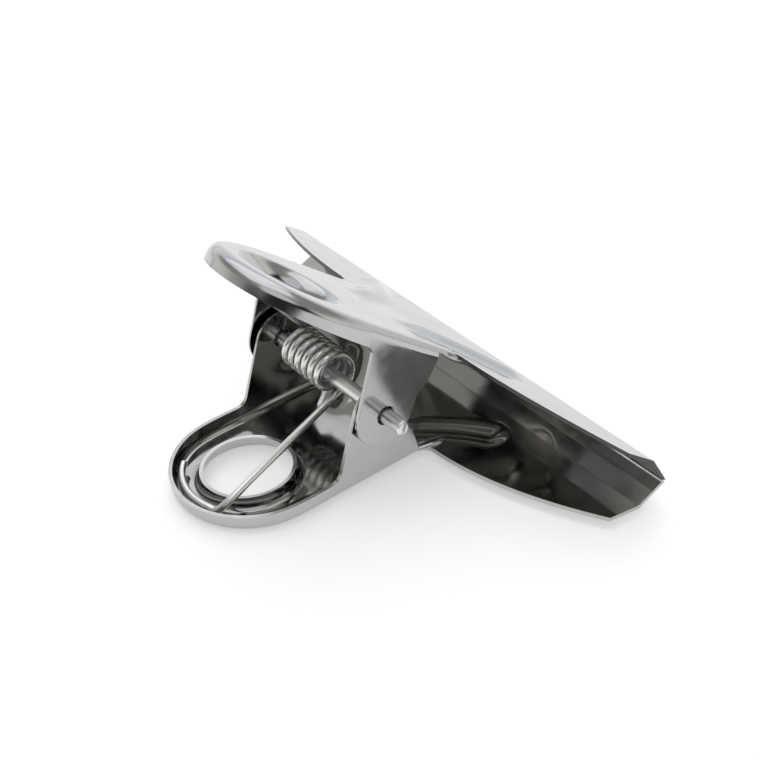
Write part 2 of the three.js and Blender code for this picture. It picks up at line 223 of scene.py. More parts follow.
class Bench:
    """The few steps of hand work that the pieces share."""

    @staticmethod
    def clear_selection() -> None:
        """Leaves edit mode and deselects everything."""
        if bpy.context.object and bpy.context.object.mode != "OBJECT":
            bpy.ops.object.mode_set(mode="OBJECT")
        bpy.ops.object.select_all(action="DESELECT")

    @staticmethod
    def take(obj: bpy.types.Object) -> None:
        """Makes one object the only selected and active one.

        Args:
            obj: The object to work on.
        """
        Bench.clear_selection()
        obj.select_set(True)
        bpy.context.view_layer.objects.active = obj

    @staticmethod
    def edit(obj: bpy.types.Object) -> None:
        """Takes one object into edit mode.

        Args:
            obj: The object to work on.
        """
        Bench.take(obj)
        bpy.ops.object.mode_set(mode="EDIT")

    @staticmethod
    def named(name: str) -> bpy.types.Object:
        """Names the active object and its mesh.

        Args:
            name: New name.

        Returns:
            The active object.
        """
        obj = bpy.context.object
        obj.name = name
        obj.data.name = name
        return obj

    @staticmethod
    def draw(name: str, points: Sequence[Sequence[float]]) -> bpy.types.Object:
        """Draws a line by extruding one vertex from point to point, and stays in edit mode.

        Args:
            name: Name of the object.
            points: Places along the line, in millimetres.

        Returns:
            The object, with its last vertex selected.
        """
        Bench.clear_selection()
        bpy.ops.mesh.primitive_plane_add(size=1.0, location=(0, 0, 0))
        obj = Bench.named(name)
        bpy.ops.object.mode_set(mode="EDIT")
        bpy.ops.mesh.select_mode(type="VERT")
        bpy.ops.mesh.select_all(action="SELECT")
        bpy.ops.mesh.merge(type="CENTER")
        bpy.ops.transform.translate(value=points[0])
        for here, there in zip(points, points[1:]):
            Bench.extrude(Vector(there) - Vector(here))
        return obj

    @staticmethod
    def extrude(step: Sequence[float]) -> None:
        """Extrudes what is selected, in edit mode.

        Args:
            step: How far and which way.
        """
        bpy.ops.mesh.extrude_region_move(TRANSFORM_OT_translate={"value": step})

    @staticmethod
    def raise_outline(
        name: str, points: Sequence[Sequence[float]], reach: Sequence[float]
    ) -> bpy.types.Object:
        """Fills a drawn outline and extrudes it, and stays in edit mode.

        Args:
            name: Name of the object.
            points: Corners of the outline.
            reach: How far and which way the outline is extruded.

        Returns:
            The object, with its moved end selected.
        """
        obj = Bench.draw(name, points)
        bpy.ops.mesh.select_all(action="SELECT")
        bpy.ops.mesh.edge_face_add()
        Bench.extrude(reach)
        return obj

    @staticmethod
    def prism(name: str, points: Sequence[Sequence[float]], reach: Sequence[float]) -> bpy.types.Object:
        """Makes a closed solid over an outline.

        Args:
            name: Name of the object.
            points: Corners of the outline.
            reach: How far and which way the outline is extruded.

        Returns:
            The solid, in object mode.
        """
        obj = Bench.raise_outline(name, points, reach)
        Bench.close_up()
        return obj

    @staticmethod
    def close_up(threshold: float = STRICT) -> None:
        """Merges doubles, points the normals outward and leaves edit mode.

        Args:
            threshold: Distance under which vertices merge.
        """
        bpy.ops.mesh.select_all(action="SELECT")
        bpy.ops.mesh.remove_doubles(threshold=threshold)
        bpy.ops.mesh.normals_make_consistent(inside=False)
        bpy.ops.object.mode_set(mode="OBJECT")

    @staticmethod
    def spin(name: str, profile: Sequence[Sequence[float]], steps: int) -> bpy.types.Object:
        """Turns a drawn profile once round the pin's axis.

        Args:
            name: Name of the object.
            profile: Points of the profile.
            steps: Facets round.

        Returns:
            The turned piece, in object mode.
        """
        obj = Bench.draw(name, profile)
        bpy.ops.mesh.select_all(action="SELECT")
        bpy.ops.mesh.spin(steps=steps, angle=-2 * math.pi, center=(0, 0, 0), axis=(0, 1, 0))
        Bench.close_up()
        return obj

    @staticmethod
    def pick(obj: bpy.types.Object, mode: str, wanted: Callable[[Sequence[Vector]], bool]) -> None:
        """Selects edges or faces by the places of their corners.

        Args:
            obj: Object in edit mode.
            mode: EDGE or FACE.
            wanted: Says whether an element with these corners is picked.
        """
        bpy.ops.mesh.select_mode(type=mode)
        bpy.ops.mesh.select_all(action="DESELECT")
        mesh = bmesh.from_edit_mesh(obj.data)
        for element in mesh.edges if mode == "EDGE" else mesh.faces:
            element.select_set(wanted([vert.co for vert in element.verts]))
        mesh.select_flush_mode()
        bmesh.update_edit_mesh(obj.data)

    @staticmethod
    def painted(obj: bpy.types.Object, finish: bpy.types.Material) -> bpy.types.Object:
        """Gives a piece one finish all over.

        Args:
            obj: The piece.
            finish: Its material.

        Returns:
            The same piece.
        """
        obj.data.materials.clear()
        obj.data.materials.append(finish)
        return obj

    @staticmethod
    def combine(obj: bpy.types.Object, tool: bpy.types.Object, operation: str) -> None:
        """Combines a piece with a second one, which is used up.

        Args:
            obj: Piece that is changed.
            tool: Closed solid that it is combined with.
            operation: UNION, DIFFERENCE or INTERSECT.
        """
        Bench.take(obj)
        modifier = obj.modifiers.new(operation.lower(), "BOOLEAN")
        modifier.operation = operation
        modifier.solver = "EXACT"
        modifier.material_mode = "TRANSFER"
        modifier.object = tool
        bpy.ops.object.modifier_apply(modifier=modifier.name)
        bpy.data.objects.remove(tool, do_unlink=True)

    @staticmethod
    def thicken(
        obj: bpy.types.Object, sheet: float, outside: bpy.types.Material, inside: bpy.types.Material
    ) -> None:
        """Gives an open surface the thickness of the sheet, on the side away from its normals.

        Args:
            obj: Piece to thicken.
            sheet: Thickness.
            outside: Material of the surface.
            inside: Material of its back.
        """
        Bench.painted(obj, outside)
        obj.data.materials.append(inside)
        Bench.take(obj)
        modifier = obj.modifiers.new("sheet", "SOLIDIFY")
        modifier.material_offset = 1
        modifier.thickness = sheet
        modifier.offset = -1.0
        modifier.use_even_offset = True
        bpy.ops.object.modifier_apply(modifier=modifier.name)

    @staticmethod
    def lay_down(obj: bpy.types.Object, place: ClipPlace) -> None:
        """Moves a finished mesh from the clip's frame to the table's, into its vertices.

        Args:
            obj: Object whose mesh is in the clip's frame.
            place: Where the clip lies.
        """
        obj.data.transform(place.matrix())
        obj.data.update()

    @staticmethod
    def smooth(obj: bpy.types.Object, degrees: float = 35.0) -> None:
        """Shades smooth up to an angle, with flat faces kept flat.

        Args:
            obj: Object to shade.
            degrees: Edges sharper than this stay sharp.
        """
        Bench.take(obj)
        bpy.ops.object.shade_smooth_by_angle(angle=math.radians(degrees))
        weights = obj.modifiers.new("weights", "WEIGHTED_NORMAL")
        weights.keep_sharp = True
        bpy.ops.object.modifier_apply(modifier=weights.name)


class NodeSketch:
    """Lays out the nodes of a material or of the room, from an empty tree."""

    def __init__(self, owner: bpy.types.Material | bpy.types.World) -> None:
        """Clears the owner's nodes.

        Args:
            owner: What the nodes belong to.
        """
        owner.use_nodes = True
        self.tree = owner.node_tree
        self.tree.nodes.clear()

    def principled(self) -> bpy.types.Node:
        """Starts a material with its shader.

        Returns:
            A Principled shader, linked to the output.
        """
        output = self.node("ShaderNodeOutputMaterial")
        shader = self.node("ShaderNodeBsdfPrincipled")
        self.link(shader, "BSDF", output, "Surface")
        return shader

    def node(self, kind: str, **settings: object) -> bpy.types.Node:
        """Adds a node and sets its properties and sockets.

        Args:
            kind: Blender's name of the node type.
            **settings: Properties of the node, or values of its inputs by name with spaces as underscores.

        Returns:
            The new node.
        """
        made = self.tree.nodes.new(kind)
        for key, value in settings.items():
            socket = key.replace("_", " ")
            if hasattr(made, key):
                setattr(made, key, value)
            elif socket in made.inputs:
                made.inputs[socket].default_value = value
            else:
                raise KeyError(f"{kind} has no setting {key}")
        return made

    def link(self, a: bpy.types.Node, out: str | int, b: bpy.types.Node, to: str | int) -> None:
        """Joins one node's output to another's input.

        Args:
            a: Node that gives.
            out: Its output.
            b: Node that takes.
            to: Its input.
        """
        self.tree.links.new(a.outputs[out], b.inputs[to])

    def ramp(
        self, stops: Sequence[tuple[float, float]], tint: Sequence[float] = (1.0, 1.0, 1.0)
    ) -> bpy.types.Node:
        """Adds a colour ramp of one tint.

        Args:
            stops: Pairs of position and level.
            tint: Colour at a level of one.

        Returns:
            The ramp node.
        """
        made = self.node("ShaderNodeValToRGB")
        band = made.color_ramp
        while len(band.elements) < len(stops):
            band.elements.new(0.5)
        for element, (where, level) in zip(band.elements, stops):
            element.position = where
            element.color = (*[level * part for part in tint], 1)
        return made


@dataclass(frozen=True)
class Finish:
    """A metal finish seen at the clip's scale.

    Attributes:
        name: Name of the material.
        colour: Colour of the metal's reflection.
        roughness: Lowest and highest roughness over the surface.
        haze_scale: Patches of haze per metre.
        ripple: Height in metres of the slow waves in the polish.
        ripple_scale: Waves per metre.
        grain: Strength of the fine lines.
        grain_stretch: Scale of the lines along X, Y and Z.
        graze: How much of the light it throws back at a flat angle.
        haze_range: Levels of the haze at which the roughness is lowest and highest.
        worn_tone: Brightness of the metal where it is haziest.
        grain_height: Height in metres of the fine lines.
    """

    name: str
    colour: tuple[float, float, float]
    roughness: tuple[float, float]
    haze_scale: float
    ripple: float
    ripple_scale: float
    grain: float
    grain_stretch: tuple[float, float, float]
    graze: float = 1.0
    haze_range: tuple[float, float] = (0.35, 0.75)
    worn_tone: float = 0.9
    grain_height: float = 0.00002

    def build(self) -> bpy.types.Material:
        """Makes the material.

        Returns:
            A metal with hazy patches, slow ripples and fine lines.
        """
        material = bpy.data.materials.new(self.name)
        sketch = NodeSketch(material)
        shader = sketch.principled()
        shader.inputs["Metallic"].default_value = 1.0
        shader.inputs["Specular Tint"].default_value = (self.graze, self.graze, self.graze, 1)
        where = sketch.node("ShaderNodeTexCoord")
        haze = sketch.node("ShaderNodeTexNoise", Scale=self.haze_scale, Detail=6.0, Roughness=0.6)
        sketch.link(where, "Object", haze, "Vector")
        spread = sketch.ramp(list(zip(self.haze_range, self.roughness)))
        sketch.link(haze, "Fac", spread, "Fac")
        sketch.link(spread, "Color", shader, "Roughness")

        tone = sketch.node("ShaderNodeMix", data_type="RGBA")
        tone.inputs["A"].default_value = (*self.colour, 1)
        tone.inputs["B"].default_value = (*[part * self.worn_tone for part in self.colour], 1)
        sketch.link(haze, "Fac", tone, "Factor")
        sketch.link(tone, "Result", shader, "Base Color")

        stretch = sketch.node("ShaderNodeMapping", Scale=self.grain_stretch)
        sketch.link(where, "Object", stretch, "Vector")
        lines = sketch.node("ShaderNodeTexNoise", Scale=1.0, Detail=3.0, Roughness=0.55)
        sketch.link(stretch, "Vector", lines, "Vector")
        wave = sketch.node("ShaderNodeTexNoise", Scale=self.ripple_scale, Detail=1.5, Roughness=0.45)
        sketch.link(where, "Object", wave, "Vector")
        slow = sketch.node("ShaderNodeBump", Distance=self.ripple, Strength=1.0)
        sketch.link(wave, "Fac", slow, "Height")
        fine = sketch.node("ShaderNodeBump", Distance=self.grain_height, Strength=self.grain)
        sketch.link(lines, "Fac", fine, "Height")
        sketch.link(slow, "Normal", fine, "Normal")
        sketch.link(fine, "Normal", shader, "Normal")
        return material


POLISHED_STEEL = Finish(
    name="polished_sheet_steel",
    colour=(0.52, 0.522, 0.532),
    roughness=(0.09, 0.2),
    haze_scale=260.0,
    ripple=0.0001,
    ripple_scale=110.0,
    grain=0.05,
    grain_stretch=(1500.0, 300.0, 1500.0),
    graze=0.92,
)
# Painted shade: the inner faces get a darker, warmer steel colour so that the clip's insides look shaded.
SHADED_INNER_FACE = Finish(
    name="inner_face_painted_shade",
    colour=(0.41, 0.405, 0.395),
    roughness=(0.06, 0.16),
    haze_scale=260.0,
    ripple=0.00005,
    ripple_scale=110.0,
    grain=0.02,
    grain_stretch=(1500.0, 300.0, 1500.0),
)
SHEARED_EDGE = Finish(
    name="sheared_sheet_edge",
    colour=(0.5, 0.495, 0.485),
    roughness=(0.14, 0.28),
    haze_scale=900.0,
    ripple=0.00002,
    ripple_scale=900.0,
    grain=0.3,
    grain_stretch=(900.0, 900.0, 6000.0),
)
# Painted shade: a near-black copy of the sheared edge, put on the upper jaw's edges as a dark shaded
# outline.
SHADE_DARK_EDGE = Finish(
    name="jaw_edge_painted_shade",
    colour=(0.09, 0.088, 0.086),
    roughness=(0.2, 0.34),
    haze_scale=900.0,
    ripple=0.00002,
    ripple_scale=900.0,
    grain=0.3,
    grain_stretch=(900.0, 900.0, 6000.0),
)
PIN_STEEL = Finish(
    name="drawn_pin_steel",
    colour=(0.86, 0.86, 0.855),
    roughness=(0.28, 0.42),
    haze_scale=500.0,
    ripple=0.00002,
    ripple_scale=300.0,
    grain=0.5,
    grain_stretch=(9000.0, 500.0, 9000.0),
)
SPRING_WIRE = Finish(
    name="plated_spring_wire",
    colour=(0.8, 0.8, 0.79),
    roughness=(0.22, 0.34),
    haze_scale=700.0,
    ripple=0.00002,
    ripple_scale=400.0,
    grain=0.3,
    grain_stretch=(4000.0, 4000.0, 4000.0),
)


@dataclass(frozen=True)
class EarSizes:
    """Sizes of one half's two ears.

    Attributes:
        face: Distance of the outer faces from the middle.
        half_width: Half the width at the pin.
        step: Where the front edge leaves the straight part.
        foot: Where the front edge meets the handle's sheet.
    """

    face: float
    half_width: float
    step: tuple[float, float]
    foot: float


@dataclass(frozen=True)
class SheetFinishes:
    """Materials of one pressed half.

    Attributes:
        outside: Mirror-polished outer face.
        inside: Inner face, with a darker, warmer steel colour that is painted shade of the clip's insides.
        edge: Sheared edges of the handle and the ears.
        jaw_edge: Sheared edges of the jaw.
    """

    outside: bpy.types.Material
    inside: bpy.types.Material
    # jaw_edge: Sheared edges of the jaw, which on the upper half are painted near black as shade.
    edge: bpy.types.Material
    jaw_edge: bpy.types.Material


@dataclass
class PressedHalf:
    """One pressed half: jaw with its lip, holed handle with a turned-down rim, two ears and two ribs.

    Both halves are modelled as the upper one, and the lower one is turned over at the end.

    Attributes:
        side: Which half it is.
        sizes: Sizes that both halves share.
        ears: Sizes of its ears.
        finishes: Its materials.
        jaw_side_length: Length of the jaw's straight side.
        jaw_side_taper: How much narrower the jaw is at that side's back end.
        back_edge_bow: How far the jaw's back edge bows out.
        neck_fillet: Rounding of the corner between handle and jaw, in the plan.
        bend_radius: Outer radius of the lip bend.
        rim_width: Height of the handle's turned-down rim.
        edge_radius: Rounding between the handle's flat and its rim.
        hole_radius: Radius of the handle's hole.
        ear_fillet: Rounding between the rim and the ear's back edge.
        die_roll: Rounding that the stamping die leaves on the ears' edges.
        pin_hole_radius: Radius of the holes for the pin.
        rib_width: Width of a rib.
        rib_height: Height of a rib over the flat sheet.
        rib_start: Where a rib's middle line starts, along the clip and across it.
        rib_heading: Direction of the rib there, in degrees from the clip's length.
        rib_turn: Angle that the rib turns through, in degrees.
        rib_bend: Radius of the rib's middle line.
        rib_rise: Share of its length over which a rib rises out of the handle.
        gather_size: Half lengths of the metal gathered in each corner.
        gather_lead: How far in front of the neck its middle lies.
        gather_depth: How far its middle lies under the outer face, and inside the ear's face.
        gather_tilt: How much steeper it lies than the jaw, in degrees.
        gather_turn: How far it turns outward, in degrees.
    """

    side: Side
    sizes: SheetSizes
    ears: EarSizes
    finishes: SheetFinishes
    jaw_side_length: float = 8.1
    jaw_side_taper: float = 0.6
    back_edge_bow: float = 1.6
    neck_fillet: float = 1.6
    bend_radius: float = 1.0
    rim_width: float = 2.6
    edge_radius: float = 1.5
    hole_radius: float = 5.9
    ear_fillet: float = 1.2
    die_roll: float = 0.2
    pin_hole_radius: float = 1.35
    rib_width: float = 5.8
    rib_height: float = 0.8
    rib_start: tuple[float, float] = (4.2, 3.8)
    rib_heading: float = 15.0
    rib_turn: float = 45.0
    rib_bend: float = 22.5
    rib_rise: float = 0.35
    gather_size: tuple[float, float, float] = (2.6, 0.9, 0.55)
    gather_lead: float = 0.1
    gather_depth: float = 0.55
    gather_tilt: float = 1.0
    gather_turn: float = 14.0

    def outer_face(self, x: float) -> float:
        """Finds the height of the flat outer face over the pin's middle.

        Args:
            x: Place along the clip.

        Returns:
            The height.
        """
        s, neck = self.sizes, self.sizes.neck
        angle = s.handle_angle if x < neck.x else s.panel_angle
        return neck.y + (neck.x - x) * math.tan(math.radians(angle))

    @staticmethod
    def on_top(corners: Sequence[Vector]) -> bool:
        """Tells whether an edge or face lies in the handle's outer plane, in the handle's frame."""
        return all(abs(corner.z) < STRICT for corner in corners)

    def on_flat(self, corners: Sequence[Vector]) -> bool:
        """Tells whether a face lies on the flat outer face, in the clip's frame."""
        off_face = 0.03
        return all(abs(corner.z - self.outer_face(corner.x)) < off_face for corner in corners)

    def handle_outline(self) -> list[tuple[float, float, float]]:
        """Draws the handle's outline in its own frame, easing from the ears into the round end.

        Returns:
            The outline, from one lap under the jaw round to the other.
        """
        s = self.sizes
        join, ease, lap = 65.0, 3.2, s.sheet
        a = math.radians(join)
        round_u = s.handle_length - s.handle_end_radius
        back_u = (s.neck_reach + self.ears.half_width) / math.cos(math.radians(s.handle_angle))
        meet = (round_u + s.handle_end_radius * math.cos(a), s.handle_end_radius * math.sin(a))
        easing = Drawn.bezier([
            (back_u, self.ears.face),
            (back_u + ease, self.ears.face),
            (meet[0] - ease * math.sin(a), meet[1] + ease * math.cos(a)),
            meet,
        ], steps=10)
        end = Drawn.arc((round_u, 0), s.handle_end_radius, join, -join, steps=48)
        far = [Vector((-lap, self.ears.face)), *easing[:-1]]
        near = [Vector((p.x, -p.y)) for p in reversed(far)]
        return [(p.x, p.y, 0.0) for p in (*far, *end, *near)]

    def handle_tray(self) -> bpy.types.Object:
        """Makes the handle as a tray, with its drawn hole, rounded edge and walls deep enough for the ears.

        Returns:
            The tray, a closed sheet in the clip's frame.
        """
        s = self.sizes
        wall, ribs_reach = 18.0, 10.0
        tray = Bench.raise_outline("handle_tray", self.handle_outline(), (0, 0, wall))
        bpy.ops.mesh.delete(type="FACE")
        front = -s.sheet + LOOSE
        Bench.pick(tray, "FACE", lambda corners: all(corner.x < front for corner in corners))
        bpy.ops.mesh.delete(type="ONLY_FACE")
        Bench.pick(tray, "EDGE", lambda corners: self.on_top(corners) and any(c.x > front for c in corners))
        bpy.ops.mesh.bevel(
            offset=self.edge_radius, offset_type="OFFSET", segments=10, profile=0.5, affect="EDGES"
        )
        self.draw_collar(tray)
        Bench.close_up()
        flat = max(tray.data.polygons, key=lambda face: face.area * (abs(face.center.z) < LOOSE))
        if flat.normal.z > 0:
            tray.data.flip_normals()
        tray.data.transform(s.handle_matrix())
        self.emboss(tray, ribs_reach)
        Bench.thicken(tray, s.sheet, self.finishes.outside, self.finishes.inside)
        return tray

    def draw_collar(self, tray: bpy.types.Object) -> None:
        """Opens the handle's flat and draws the collar inward round the hole.

        Args:
            tray: The tray, in edit mode.
        """
        s = self.sizes
        bend = s.collar_radius - self.hole_radius
        hole_u = s.handle_length - s.hole_from_end
        most_bevel_corners = 8
        Bench.pick(tray, "FACE", lambda corners: len(corners) > most_bevel_corners and self.on_top(corners))
        bpy.ops.mesh.delete(type="ONLY_FACE")
        bpy.ops.mesh.select_all(action="DESELECT")
        bpy.ops.mesh.primitive_circle_add(vertices=72, radius=s.collar_radius, location=(hole_u, 0, 0))
        Bench.pick(tray, "EDGE", self.on_top)
        bpy.ops.mesh.fill(use_beauty=True)

        def on_ring(corner: Vector) -> bool:
            """Tells whether a corner lies on the ring that was made last."""
            off_ring = abs(math.hypot(corner.x - hole_u, corner.y) - radius)
            return off_ring < LOOSE and abs(corner.z - depth) < LOOSE

        steps = 12
        radius, depth = s.collar_radius, 0.0
        for i in range(1, steps + 1):
            turned = math.pi / 2 * i / steps
            next_radius = s.collar_radius - bend * math.sin(turned)
            next_depth = s.collar_depth * (1 - math.cos(turned))
            Bench.pick(tray, "EDGE", lambda corners: all(on_ring(corner) for corner in corners))
            Bench.extrude((0, 0, next_depth - depth))
            shrink = next_radius / radius
            bpy.ops.transform.resize(value=(shrink, shrink, 1.0), center_override=(hole_u, 0, next_depth))
            radius, depth = next_radius, next_depth

    def wall_solid(self) -> bpy.types.Object:
        """Makes the block over what stays of the tray's walls: the rim, and the ears with their flared feet.

        Returns:
            The block.
        """
        s, ears = self.sizes, self.ears
        angle = math.radians(s.handle_angle)
        slope = math.cos(angle)
        lap, above, behind, aside, skin = 2 * s.sheet, 8.0, 2.0, 1.0, 0.05
        pull, sag = 0.7, 0.4
        half = ears.half_width
        step = Vector(ears.step)

        def rim(x: float) -> float:
            """Finds the height of the rim's lower edge."""
            return self.outer_face(x) - self.rim_width / slope

        def inside(x: float) -> float:
            """Finds the height just under the handle's inner face."""
            return s.neck.y + (s.neck.x - x) * math.tan(angle) - (s.sheet + skin) / slope

        front = s.neck.x + lap
        back = s.neck.x - (s.handle_length + behind) * slope
        foot = (ears.foot, inside(ears.foot))
        flare = (ears.foot - (ears.foot - step.x) * sag, (step.y + foot[1]) / 2)
        outline = [
            Vector((front, inside(front))),
            Vector((front, s.neck.y + above)),
            Vector((back, self.outer_face(back) + above)),
            Vector((back, rim(back))),
            *Drawn.bezier([
                (-half - self.ear_fillet, rim(-half - self.ear_fillet)),
                (-half, rim(-half)),
                (-half, rim(-half) - self.ear_fillet),
            ], steps=8),
            *Drawn.arc((0, 0), half, 180, 360, steps=48),
            *Drawn.bezier([(half, step.y / 2), (half, step.y * pull), tuple(step)], steps=8),
            *Drawn.bezier([tuple(step), flare, foot], steps=6)[1:],
        ]
        width = ears.face + aside
        return Bench.prism("wall_block", [(p.x, -width, p.y) for p in outline], (0, 2 * width, 0))

    def jaw_strip(self) -> bpy.types.Object:
        """Makes the jaw before it is trimmed, from past the mouth over the lip bend to under the handle.

        Returns:
            The strip, a closed sheet with its stretch of the ribs.
        """
        s = self.sizes
        aside, ribs_reach = 1.0, 18.0
        lip, panel = math.radians(s.lip_angle), math.radians(s.panel_angle)
        bend = Vector((s.mouth_reach - s.lip_reach, s.lip_reach * math.tan(lip)))
        down_lip = Vector((math.cos(lip), -math.sin(lip)))
        down_panel = Vector((math.cos(panel), -math.sin(panel)))
        setback = self.bend_radius * math.tan((lip - panel) / 2)
        start = bend + down_lip * setback
        centre = start + Vector((down_lip.y, -down_lip.x)) * self.bend_radius
        profile = [
            Vector((s.mouth_reach, 0)) + down_lip,
            *Drawn.arc(centre, self.bend_radius, 90 - s.lip_angle, 90 - s.panel_angle, steps=8),
            s.neck - down_panel * s.sheet,
        ]
        reach = s.jaw_width / 2 + aside
        strip = Bench.draw("jaw_strip", [(p.x, -reach, p.y) for p in profile])
        bpy.ops.mesh.select_all(action="SELECT")
        Bench.extrude((0, 2 * reach, 0))
        Bench.close_up()
        if strip.data.polygons[0].normal.z < 0:
            strip.data.flip_normals()
        self.emboss(strip, ribs_reach)
        Bench.thicken(strip, s.sheet, self.finishes.outside, self.finishes.inside)
        return strip

    def jaw_plan(self) -> bpy.types.Object:
        """Makes the block over the jaw's plan: straight sides, bowed back edges and a rounded neck.

        Returns:
            The block, over the jaw's half of the gap at the mouth.
        """
        s = self.sizes
        past_mouth, height = 2.0, 60.0
        half = s.jaw_width / 2
        corner = (s.mouth_reach - self.jaw_side_length, half - self.jaw_side_taper)
        neck_half = self.ears.face - self.edge_radius / 4
        neck_x, lap = s.neck.x, 2 * s.sheet
        bow = ((neck_x + corner[0]) / 2 - 2 * self.back_edge_bow, (neck_half + corner[1]) / 2)
        far = [
            *Drawn.bezier([
                (neck_x - lap, neck_half), (neck_x, neck_half), (neck_x, neck_half + self.neck_fillet),
            ], steps=8),
            *Drawn.bezier([(neck_x, neck_half + self.neck_fillet), bow, corner], steps=24)[1:],
            Vector((s.mouth_reach - s.lip_reach, half)),
            Vector((s.mouth_reach + past_mouth, half)),
        ]
        near = [Vector((p.x, -p.y)) for p in reversed(far)]
        grip = s.clearance / 2
        return Bench.prism("jaw_plan", [(p.x, p.y, grip) for p in (*far, *near)], (0, 0, height))

    def rib_lift(self, x: float, y: float) -> float:
        """Finds the height of the ribs over the flat sheet.

        Args:
            x: Place along the clip.
            y: Place across it.

        Returns:
            The height, nothing away from the ribs.
        """
        start, turn = math.radians(self.rib_heading), math.radians(self.rib_turn)
        centre = Vector((
            self.rib_start[0] - self.rib_bend * math.sin(start),
            self.rib_start[1] + self.rib_bend * math.cos(start),
        ))
        out = Vector((x, abs(y))) - centre
        heading = math.atan2(out.x, -out.y)
        nearest = min(max(heading, start), start + turn)
        on_line = self.rib_bend * Vector((math.sin(nearest), -math.cos(nearest)))
        share = (out - on_line).length / (self.rib_width / 2)
        if share >= 1 or heading <= start:
            return 0.0
        along = min((heading - start) / (self.rib_rise * turn), 1.0)
        return self.rib_height * (1 + math.cos(math.pi * share)) / 2 * along * along * (3 - 2 * along)

    def emboss(self, surface: bpy.types.Object, reach: float) -> None:
        """Cuts a fine grid into the flat stretch of a sheet and presses the ribs out of it.

        Args:
            surface: Open surface in the clip's frame.
            reach: How far across the ribs go there.
        """
        grid, front, back = 0.45, 21.5, 1.5
        near_face = 0.1
        Bench.edit(surface)
        cuts = [((back + grid * i, 0, 0), (1, 0, 0)) for i in range(round((front - back) / grid))]
        for i in range(round(reach / grid)):
            cuts += [((0, hand * grid * (i + 1), 0), (0, 1, 0)) for hand in (-1, 1)]
        for at, across in cuts:
            Bench.pick(surface, "FACE", self.on_flat)
            bpy.ops.mesh.bisect(plane_co=at, plane_no=across, threshold=1e-5)
        bpy.ops.object.mode_set(mode="OBJECT")
        for vert in surface.data.vertices:
            if abs(vert.co.z - self.outer_face(vert.co.x)) < near_face:
                vert.co.z += self.rib_lift(vert.co.x, vert.co.y)
        surface.data.update()

    def corner_gather(self, hand: int) -> bpy.types.Object:
        """Makes the metal that gathers where the handle's rounded edge runs out into the jaw's corner.

        Args:
            hand: -1 for the near side, 1 for the far side.

        Returns:
            A low rounded body in the corner.
        """
        x = self.sizes.neck.x + self.gather_lead
        at = (x, hand * (self.ears.face - self.gather_depth), self.outer_face(x) - self.gather_depth)
        tilt = math.radians(self.sizes.panel_angle + self.gather_tilt)
        Bench.clear_selection()
        bpy.ops.mesh.primitive_uv_sphere_add(segments=32, ring_count=20, radius=1.0, location=at)
        body = Bench.named("corner_gather")
        body.scale = self.gather_size
        body.rotation_euler = (0, tilt, hand * math.radians(self.gather_turn))
        bpy.ops.object.transform_apply(location=True, rotation=True, scale=True)
        return body

    def roll_ears(self, half: bpy.types.Object) -> None:
        """Rounds the outer edge of both ears as the stamping die leaves it.

        Args:
            half: The handle with its ears.
        """
        face, reach = self.ears.face, self.ears.half_width
        under_rim, off_round = 2, 1e-2

        def on_edge(corner: Vector) -> bool:
            """Looks for the ears' outer edges.

            Args:
                corner: A corner of the mesh.

            Returns:
                Whether it lies on the back edge or round end of an ear's outer face.
            """
            top = self.outer_face(corner.x) - self.rim_width - under_rim
            if abs(abs(corner.y) - face) > LOOSE or corner.z > top:
                return False
            round_end = corner.z < LOOSE and abs(math.hypot(corner.x, corner.z) - reach) < off_round
            return round_end or abs(corner.x + reach) < LOOSE

        Bench.edit(half)
        Bench.pick(half, "EDGE", lambda corners: all(on_edge(corner) for corner in corners))
        bpy.ops.mesh.bevel(
            offset=self.die_roll, offset_type="OFFSET", segments=3, profile=0.5, affect="EDGES"
        )
        bpy.ops.object.mode_set(mode="OBJECT")

    def pin_hole(self) -> bpy.types.Object:
        """Makes the drill for the pin's holes.

        Returns:
            A cylinder through both ears.
        """
        Bench.clear_selection()
        bpy.ops.mesh.primitive_cylinder_add(
            vertices=48, radius=self.pin_hole_radius, depth=3 * self.ears.face, rotation=(math.pi / 2, 0, 0),
        )
        hole = Bench.named("pin_hole")
        bpy.ops.object.transform_apply(location=True, rotation=True, scale=True)
        return hole

    def build(self, place: ClipPlace) -> bpy.types.Object:
        """Makes the half.

        Args:
            place: Where the clip lies.

        Returns:
            The finished piece.
        """
        edge = self.finishes.edge
        half = self.handle_tray()
        Bench.combine(half, Bench.painted(self.wall_solid(), edge), "INTERSECT")
        self.roll_ears(half)
        jaw = self.jaw_strip()
        Bench.combine(jaw, Bench.painted(self.jaw_plan(), self.finishes.jaw_edge), "INTERSECT")
        Bench.combine(half, jaw, "UNION")
        for hand in (-1, 1):
            Bench.combine(half, Bench.painted(self.corner_gather(hand), self.finishes.outside), "UNION")
        Bench.combine(half, Bench.painted(self.pin_hole(), edge), "DIFFERENCE")
        Bench.edit(half)
        Bench.close_up(LOOSE)
        half.name = f"{self.side.body}_pressed_half"
        half.data.name = half.name
        if self.side is Side.LOWER:
            half.data.transform(Matrix.Rotation(math.pi, 4, "X"))
        Bench.lay_down(half, place)
        Bench.smooth(half)
        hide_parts(f"{self.side.body}_half")
        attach(half, self.side.body)
        return half


